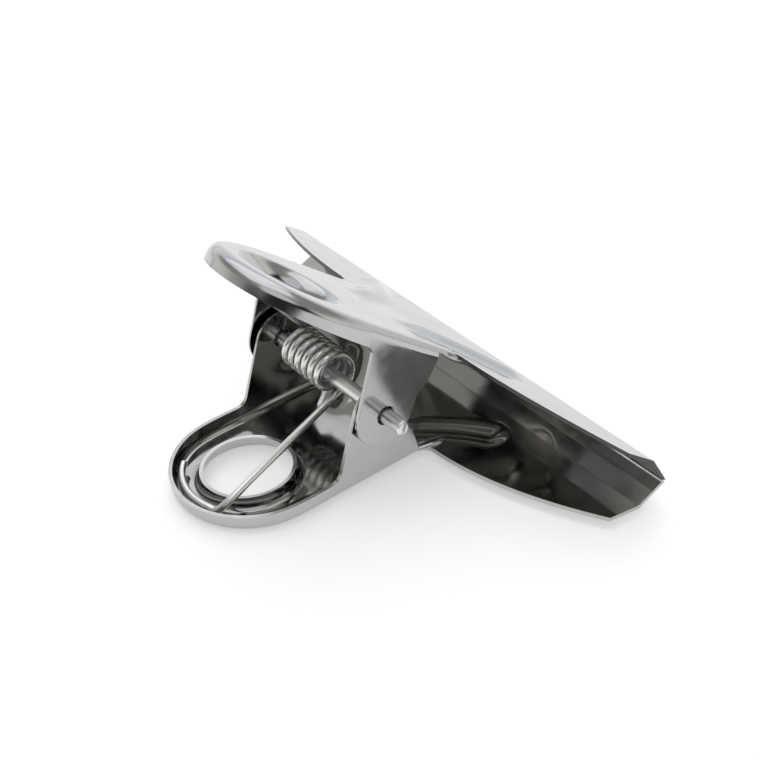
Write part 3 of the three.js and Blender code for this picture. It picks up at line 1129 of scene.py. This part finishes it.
@dataclass
class HingePin:
    """Drawn pin with a formed head at its far end and a slotted near end.

    Attributes:
        radius: Radius of the shank.
        near_reach: From the clip's middle to the near end.
        head_seat: From the clip's middle to the head.
        head_radius: Radius of the head.
        head_thickness: Height of the head, with its dome.
        head_edge: Height of the straight part of the head's edge.
        dome_drop: How far under its top the dome starts to round off.
        chamfer: Rounding of the near end.
        slot_width: Width of the slot in the near end.
        slot_depth: Depth of the slot.
    """

    radius: float = 1.0
    near_reach: float = 16.1
    head_seat: float = 12.7
    head_radius: float = 1.75
    head_thickness: float = 0.9
    head_edge: float = 0.25
    dome_drop: float = 0.1
    chamfer: float = 0.35
    slot_width: float = 0.5
    slot_depth: float = 0.6

    def build(self, place: ClipPlace, finish: bpy.types.Material) -> bpy.types.Object:
        """Makes the pin.

        Args:
            place: Where the clip lies.
            finish: The pin's material.

        Returns:
            The finished piece.
        """
        end = [
            Vector((self.radius - self.chamfer, -self.near_reach + self.chamfer)) + corner
            for corner in Drawn.arc((0, 0), self.chamfer, -90, 0, steps=6)
        ]
        top = self.head_seat + self.head_thickness
        dome = Drawn.bezier([
            (self.head_radius, self.head_seat + self.head_edge),
            (self.head_radius, top - self.dome_drop),
            (self.radius, top),
        ], steps=8)
        profile = [
            Vector((0, -self.near_reach)),
            *end,
            Vector((self.radius, self.head_seat)),
            Vector((self.head_radius, self.head_seat)),
            *dome,
            Vector((0, top)),
        ]
        pin = Bench.spin("turned_pin", [(p.x, p.y, 0) for p in profile], steps=48)
        wide, deep = self.slot_width / 2, self.slot_depth
        at, low = -self.near_reach, -2 * self.radius
        corners_of_slot = [(-wide, at - deep), (wide, at - deep), (wide, at + deep), (-wide, at + deep)]
        slot = Bench.prism("pin_slot", [(x, y, low) for x, y in corners_of_slot], (0, 0, -2 * low))
        Bench.combine(pin, slot, "DIFFERENCE")
        Bench.lay_down(pin, place)
        Bench.smooth(pin)
        Bench.painted(pin, finish)
        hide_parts("hinge_pin")
        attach(pin, "lower")
        return pin


@dataclass
class TorsionSpring:
    """One wire: a coil round the pin, a leg under each handle and a hook at each leg's end.

    Attributes:
        sizes: Sizes of the halves.
        wire_radius: Radius of the wire.
        coil_radius: Radius of the coil's middle line.
        turns: Number of turns, to the nearest half.
        pitch: Step from turn to turn.
        near_y: Where the coil starts across the clip.
        rise: Height of the coil's middle over the pin's.
        near_leg: Distance of the lower leg from the middle, where it passes the hole.
        far_leg: Distance of the upper leg there.
        leg_bow: How far the upper leg bows out.
        hook_lead: How far past the leg a hook starts, in degrees round the handle's end.
        hook_end: Angle at which a hook ends, in degrees.
        hook_inset: Extra distance of a hook from the rim.
        hook_lift: Extra distance of a hook from the handle's inner face.
        collar_air: Distance from the hole's collar at which a leg passes over its edge.
    """

    sizes: SheetSizes
    wire_radius: float = 0.52
    coil_radius: float = 2.57
    turns: int = 6
    pitch: float = 1.47
    near_y: float = -1.9
    rise: float = 0.72
    near_leg: float = 4.9
    far_leg: float = 6.4
    leg_bow: float = 0.6
    hook_lead: float = 5.0
    hook_end: float = 44.0
    hook_inset: float = 0.35
    hook_lift: float = 0.45
    collar_air: float = 0.2

    def handle_point(self, side: Side, along: float, across: float, inward: float) -> Vector:
        """Takes a point from a handle's frame to the clip's.

        Args:
            side: Which half's handle.
            along: Distance from the neck.
            across: Distance across.
            inward: Depth under the outer face.

        Returns:
            The point.
        """
        point = self.sizes.handle_matrix() @ Vector((along, across, inward))
        return Vector((point.x, point.y, point.z * side.value))

    def leg(self, side: Side, coil_y: float, hand: int) -> tuple[float, list[Vector]]:
        """Lays out one leg and its hook.

        Args:
            side: Which handle the leg lies under.
            coil_y: Where the coil ends.
            hand: -1 for the near side, 1 for the far side.

        Returns:
            Angle at which the leg leaves the coil, and the route from there.
        """
        s = self.sizes
        air = s.clearance + self.wire_radius
        hook_radius = s.handle_end_radius - s.sheet - air - self.hook_inset
        offset = self.near_leg if side is Side.LOWER else self.far_leg
        crossing = s.collar_radius + self.collar_air
        hole_u = s.handle_length - s.hole_from_end
        cross_u = hole_u + math.sqrt(crossing**2 - offset**2)
        past = self.handle_point(side, cross_u, hand * offset, s.collar_depth + air)
        centre = Vector((0, coil_y, self.rise))
        dx, dz = past.x, past.z - centre.z
        swing = math.acos(self.coil_radius / math.hypot(dx, dz))
        leave = math.atan2(dz, dx) - side.value * swing
        start = centre + Vector((math.cos(leave), 0, math.sin(leave))) * self.coil_radius
        bow = self.leg_bow if side is Side.UPPER else 0.0
        route = [start]
        steps = 6
        for i in range(1, steps):
            share = i / steps
            point = start.lerp(past, share)
            point.y += hand * 4 * bow * share * (1 - share)
            route.append(point)
        route.append(past)
        first = math.radians(self.hook_lead) - math.asin(offset / hook_radius)
        last = math.radians(self.hook_end)
        round_u = s.handle_length - s.handle_end_radius
        hook_steps = 9
        for i in range(hook_steps + 1):
            angle = first + (last - first) * i / hook_steps
            along = round_u + hook_radius * math.cos(angle)
            across = -hand * hook_radius * math.sin(angle)
            route.append(self.handle_point(side, along, across, s.sheet + air + self.hook_lift))
        return leave, route

    def tube(self, name: str, route: Sequence[Vector]) -> bpy.types.Object:
        """Makes a wire along a route, as a mesh.

        Args:
            name: Name of the piece.
            route: Points on its centre line.

        Returns:
            The piece.
        """
        curve = bpy.data.curves.new(name, "CURVE")
        curve.dimensions = "3D"
        curve.bevel_depth = self.wire_radius
        curve.bevel_resolution = 5
        curve.use_fill_caps = True
        spline = curve.splines.new("POLY")
        spline.points.add(len(route) - 1)
        for point, at in zip(spline.points, route):
            point.co = (*at, 1)
        obj = bpy.data.objects.new(name, curve)
        bpy.context.scene.collection.objects.link(obj)
        Bench.take(obj)
        bpy.ops.object.convert(target="MESH")
        made = Bench.named(name)
        bpy.ops.object.mode_set(mode="EDIT")
        Bench.close_up()
        Bench.smooth(made, degrees=50.0)
        return made

    @staticmethod
    def eased(points: Sequence[Vector], per_span: int) -> list[Vector]:
        """Draws a centripetal spline through points.

        Args:
            points: Points to pass through.
            per_span: Steps between neighbours.

        Returns:
            Points on the spline.
        """
        out: list[Vector] = []
        padded = [points[0] * 2 - points[1], *points, points[-1] * 2 - points[-2]]
        for p0, p1, p2, p3 in zip(padded, padded[1:], padded[2:], padded[3:]):
            t0 = 0.0
            t1 = t0 + math.sqrt((p1 - p0).length)
            t2 = t1 + math.sqrt((p2 - p1).length)
            t3 = t2 + math.sqrt((p3 - p2).length)
            for i in range(per_span):
                t = t1 + (t2 - t1) * i / per_span
                a1 = p0 * ((t1 - t) / (t1 - t0)) + p1 * ((t - t0) / (t1 - t0))
                a2 = p1 * ((t2 - t) / (t2 - t1)) + p2 * ((t - t1) / (t2 - t1))
                a3 = p2 * ((t3 - t) / (t3 - t2)) + p3 * ((t - t2) / (t3 - t2))
                b1 = a1 * ((t2 - t) / (t2 - t0)) + a2 * ((t - t0) / (t2 - t0))
                b2 = a2 * ((t3 - t) / (t3 - t1)) + a3 * ((t - t1) / (t3 - t1))
                out.append(b1 * ((t2 - t) / (t2 - t1)) + b2 * ((t - t1) / (t2 - t1)))
        out.append(points[-1].copy())
        return out

    def build(self, place: ClipPlace, finish: bpy.types.Material) -> list[bpy.types.Object]:
        """Makes the coil and both legs.

        Args:
            place: Where the clip lies.
            finish: The wire's material.

        Returns:
            The lower leg, the coil and the upper leg.
        """
        start, lower = self.leg(Side.LOWER, self.near_y, -1)
        sweep = self.leg(Side.UPPER, 0.0, 1)[0] - start
        while sweep < 2 * math.pi * (self.turns - 0.5):
            sweep += 2 * math.pi
        far_y = self.near_y + self.pitch * sweep / (2 * math.pi)
        upper = self.leg(Side.UPPER, far_y, 1)[1]
        facets, per_facet, lap = 32, 4, 2
        steps = round(facets * sweep / (2 * math.pi))
        coil = []
        for i in range(steps + 1):
            angle = start + sweep * i / steps
            y = self.near_y + (far_y - self.near_y) * i / steps
            coil.append(Vector((
                self.coil_radius * math.cos(angle), y, self.rise + self.coil_radius * math.sin(angle),
            )))
        whole = self.eased([*reversed(lower), *coil[1:-1], *upper], per_facet)
        near_cut = min(range(len(whole)), key=lambda i: (whole[i] - coil[lap]).length)
        far_cut = min(range(len(whole)), key=lambda i: (whole[i] - coil[-1 - lap]).length)
        routes = {
            "spring_lower_leg": whole[: near_cut + 1],
            "spring_coil": whole[near_cut : far_cut + 1],
            "spring_upper_leg": whole[far_cut:],
        }
        pieces = []
        for name, route in routes.items():
            piece = self.tube(name, route)
            Bench.lay_down(piece, place)
            Bench.painted(piece, finish)
            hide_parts("torsion_spring")
            pieces.append(piece)
        leg_low, turns, leg_high = pieces
        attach(leg_low, "lower")
        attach(leg_high, "upper")
        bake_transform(turns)
        return pieces


@dataclass
class Studio:
    """Pale table, soft light and the photograph's camera.

    Headings are horizontal directions of length one, and levels are given over the sine of the height.

    Attributes:
        camera_at: Place of the camera, in millimetres.
        camera_to: Place that it looks at.
        camera_roll: Its turn about its own axis, in degrees.
        lens: Its focal length, in millimetres.
        bright_axis: Heading of one bright wall, with the other one opposite.
        bright_reach: Closeness to that axis at which a bright wall starts, and at which it is full.
        bright_wall: Levels of the bright walls.
        bright_tint: Colour of the bright walls.
        dark_wall: Levels of the two other walls.
        dark_tint: Colour of those walls.
        shade_side: Heading of the dark shape behind the camera.
        shade_width: Closeness to that heading at which the shape starts, and at which it is full.
        shade_height: How dark the shape is, over the height.
        shade_colour: Its colour.
        room_strength: Brightness of the room.
        table_glow: Brightness that the table has of its own.
        overhead_at: Place of the soft box, in metres.
        overhead_size: Its width and height, in metres.
        overhead_aim: Point that it faces, in metres.
        overhead_power: Its power, in watts.
    """

    camera_at: tuple[float, float, float] = (-92.979, -139.705, 127.769)
    camera_to: tuple[float, float, float] = (7.79, 0.0, 6.343)
    camera_roll: float = -2.562
    lens: float = 73.686
    bright_axis: tuple[float, float] = (0.62, 0.785)
    bright_reach: tuple[float, float] = (0.76, 0.9)
    bright_wall: tuple[tuple[float, float], ...] = ((0.0, 1.1), (0.15, 1.3), (0.4, 1.1), (1.0, 0.95))
    bright_tint: tuple[float, float, float] = (0.97, 1.0, 1.03)
    dark_wall: tuple[tuple[float, float], ...] = (
        (0.0, 0.8), (0.1, 1.1), (0.3, 1.0), (0.42, 0.6), (0.5, 0.42), (0.75, 0.42), (0.9, 0.8),
    )
    dark_tint: tuple[float, float, float] = (1.03, 1.0, 0.95)
    shade_side: tuple[float, float] = (-0.7, -0.714)
    shade_width: tuple[float, float] = (0.5, 0.72)
    shade_height: tuple[tuple[float, float], ...] = (
        (0.0, 0.0), (0.06, 0.0), (0.12, 1.0), (0.45, 1.0), (0.55, 0.0),
    )
    shade_colour: tuple[float, float, float] = (0.03, 0.027, 0.025)
    room_strength: float = 0.85
    table_glow: float = 0.34
    overhead_at: tuple[float, float, float] = (0.15, 0.25, 0.9)
    overhead_size: tuple[float, float] = (1.2, 1.2)
    overhead_aim: tuple[float, float, float] = (0.0, 0.0, 0.01)
    overhead_power: float = 2.6

    def camera(self) -> None:
        """Sets up the camera."""
        data = bpy.data.cameras.new("photo_camera")
        data.lens = self.lens
        data.sensor_width = 36.0
        data.sensor_fit = "HORIZONTAL"
        data.clip_start = 0.01
        data.clip_end = 20.0
        camera = bpy.data.objects.new("photo_camera", data)
        bpy.context.scene.collection.objects.link(camera)
        at = Vector(self.camera_at) * MM
        to = Vector(self.camera_to) * MM
        unrolled = (to - at).to_track_quat("-Z", "Y").to_matrix().to_4x4()
        roll = Matrix.Rotation(math.radians(self.camera_roll), 4, "Z")
        camera.matrix_world = Matrix.Translation(at) @ unrolled @ roll
        bpy.context.scene.camera = camera

    def table(self) -> None:
        """Adds the table."""
        Bench.clear_selection()
        bpy.ops.mesh.primitive_plane_add(size=6.0, location=(0, 0, 0))
        floor = Bench.named("table")
        material = bpy.data.materials.new("pale_table")
        shader = NodeSketch(material).principled()
        shader.inputs["Base Color"].default_value = (0.93, 0.93, 0.925, 1)
        shader.inputs["Roughness"].default_value = 0.55
        shader.inputs["Specular IOR Level"].default_value = 0.3
        shader.inputs["Emission Color"].default_value = (1, 1, 0.995, 1)
        shader.inputs["Emission Strength"].default_value = self.table_glow
        Bench.painted(floor, material)
        floor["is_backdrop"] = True

    def overhead_box(self) -> None:
        """Adds the soft box over the clip."""
        data = bpy.data.lights.new("overhead_box", "AREA")
        data.shape = "RECTANGLE"
        data.size, data.size_y = self.overhead_size
        data.energy = self.overhead_power
        light = bpy.data.objects.new("overhead_box", data)
        bpy.context.scene.collection.objects.link(light)
        light.location = self.overhead_at
        aim = Vector(self.overhead_aim) - Vector(self.overhead_at)
        light.rotation_euler = aim.to_track_quat("-Z", "Y").to_euler()

    def room(self) -> None:
        """Lights the room: bright ceiling, two facing bright walls, two greyer ones and one dark shape."""
        world = bpy.data.worlds.new("studio_room")
        bpy.context.scene.world = world
        sketch = NodeSketch(world)
        where = sketch.node("ShaderNodeTexCoord")
        split = sketch.node("ShaderNodeSeparateXYZ")
        sketch.link(where, "Generated", split, "Vector")
        flattened = sketch.node("ShaderNodeVectorMath", operation="MULTIPLY")
        flattened.inputs[1].default_value = (1.0, 1.0, 0.0)
        sketch.link(where, "Generated", flattened, 0)
        heading = sketch.node("ShaderNodeVectorMath", operation="NORMALIZE")
        sketch.link(flattened, "Vector", heading, 0)

        def facing(axis: Sequence[float]) -> bpy.types.Node:
            """Measures how closely a direction follows a heading.

            Args:
                axis: The heading.

            Returns:
                Node with the cosine of the angle between them.
            """
            made = sketch.node("ShaderNodeVectorMath", operation="DOT_PRODUCT")
            made.inputs[1].default_value = (*axis, 0.0)
            sketch.link(heading, "Vector", made, 0)
            return made

        def between(source: bpy.types.Node, reach: Sequence[float]) -> bpy.types.Node:
            """Turns a node's value into a soft step.

            Args:
                source: The node.
                reach: Values at which the step starts, and at which it is full.

            Returns:
                Node that rises from nothing to one.
            """
            made = sketch.node(
                "ShaderNodeMapRange", interpolation_type="SMOOTHSTEP", From_Min=reach[0], From_Max=reach[1]
            )
            sketch.link(source, "Value", made, "Value")
            return made

        def over_height(stops: Sequence[tuple[float, float]], tint: Sequence[float]) -> bpy.types.Node:
            """Colours the room by the height.

            Args:
                stops: Pairs of height and level.
                tint: Colour at a level of one.

            Returns:
                The ramp node.
            """
            made = sketch.ramp(stops, tint)
            sketch.link(split, "Z", made, "Fac")
            return made

        either_way = sketch.node("ShaderNodeMath", operation="ABSOLUTE")
        sketch.link(facing(self.bright_axis), "Value", either_way, 0)
        walls = sketch.node("ShaderNodeMix", data_type="RGBA")
        sketch.link(between(either_way, self.bright_reach), "Result", walls, "Factor")
        sketch.link(over_height(self.dark_wall, self.dark_tint), "Color", walls, "A")
        sketch.link(over_height(self.bright_wall, self.bright_tint), "Color", walls, "B")

        shade = sketch.node("ShaderNodeMath", operation="MULTIPLY")
        sketch.link(between(facing(self.shade_side), self.shade_width), "Result", shade, 0)
        sketch.link(over_height(self.shade_height, (1.0, 1.0, 1.0)), "Color", shade, 1)
        shaded = sketch.node("ShaderNodeMix", data_type="RGBA")
        shaded.inputs["B"].default_value = (*self.shade_colour, 1)
        sketch.link(shade, "Value", shaded, "Factor")
        sketch.link(walls, "Result", shaded, "A")

        background = sketch.node("ShaderNodeBackground", Strength=self.room_strength)
        output = sketch.node("ShaderNodeOutputWorld")
        sketch.link(shaded, "Result", background, "Color")
        sketch.link(background, "Background", output, "Surface")

    def build(self) -> None:
        """Sets up the whole studio."""
        self.camera()
        self.table()
        self.room()
        self.overhead_box()
        bpy.context.scene.view_settings.view_transform = "Standard"


@dataclass
class DocumentClip:
    """The whole clip.

    Attributes:
        place: Where it lies.
        sizes: Sizes that both halves share.
        outer_ears: Ears of the upper half.
        inner_ears: Ears of the lower half, which run inside the others.
    """

    place: ClipPlace = field(default_factory=ClipPlace)
    sizes: SheetSizes = field(default_factory=SheetSizes)
    outer_ears: EarSizes = EarSizes(face=12.4, half_width=4.45, step=(5.7, 3.8), foot=6.9)
    inner_ears: EarSizes = EarSizes(face=11.2, half_width=4.1, step=(6.0, 3.2), foot=8.6)

    def build(self) -> list[bpy.types.Object]:
        """Makes and dresses every piece.

        Returns:
            The pieces.
        """
        outside, inside, edge = POLISHED_STEEL.build(), SHADED_INNER_FACE.build(), SHEARED_EDGE.build()
        # The upper jaw's edges carry the painted shade; the lower jaw's keep the plain sheared edge.
        upper_finishes = SheetFinishes(outside, inside, edge, SHADE_DARK_EDGE.build())
        lower_finishes = SheetFinishes(outside, inside, edge, edge)
        return [
            PressedHalf(Side.UPPER, self.sizes, self.outer_ears, upper_finishes).build(self.place),
            PressedHalf(Side.LOWER, self.sizes, self.inner_ears, lower_finishes).build(self.place),
            HingePin().build(self.place, PIN_STEEL.build()),
            *TorsionSpring(self.sizes).build(self.place, SPRING_WIRE.build()),
        ]


def corners() -> list[list[float]]:
    """Gives the lowest and highest corner of the shown object as plain numbers."""
    return [list(corner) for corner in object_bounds()]


def main() -> None:
    """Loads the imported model, dresses it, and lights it."""
    logging.basicConfig(level=logging.INFO, format="%(name)s: %(message)s")
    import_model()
    for piece in DocumentClip().build():
        LOG.info("%s: %d faces", piece.name, len(piece.data.polygons))
    Studio().build()


if __name__ == "__main__":
    main()
